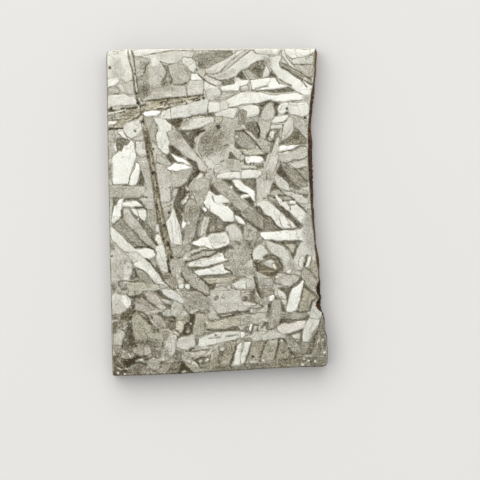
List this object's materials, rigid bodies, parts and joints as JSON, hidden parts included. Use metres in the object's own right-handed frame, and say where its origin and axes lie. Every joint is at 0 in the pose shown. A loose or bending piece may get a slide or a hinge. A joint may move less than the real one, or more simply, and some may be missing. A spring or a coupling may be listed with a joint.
{
  "type": "iron meteorite slice",
  "caption": "Thin sawn slice of an iron meteorite, polished and etched to show its interlocking metal plates, with dark natural crust along one long edge.",
  "frame": {"origin": "middle of the slice's flat back, on the surface it lies on", "axes": "+Z out of the etched face, +Y along the long side, +X towards the crusted edge"},
  "size_m": [0.0222, 0.0328, 0.003],
  "materials": {
    "etched_iron": "polished and acid-etched, satin"
  },
  "bodies": {
    "root": {"meteorite_slice": "etched_iron"}
  },
  "joints": []
}
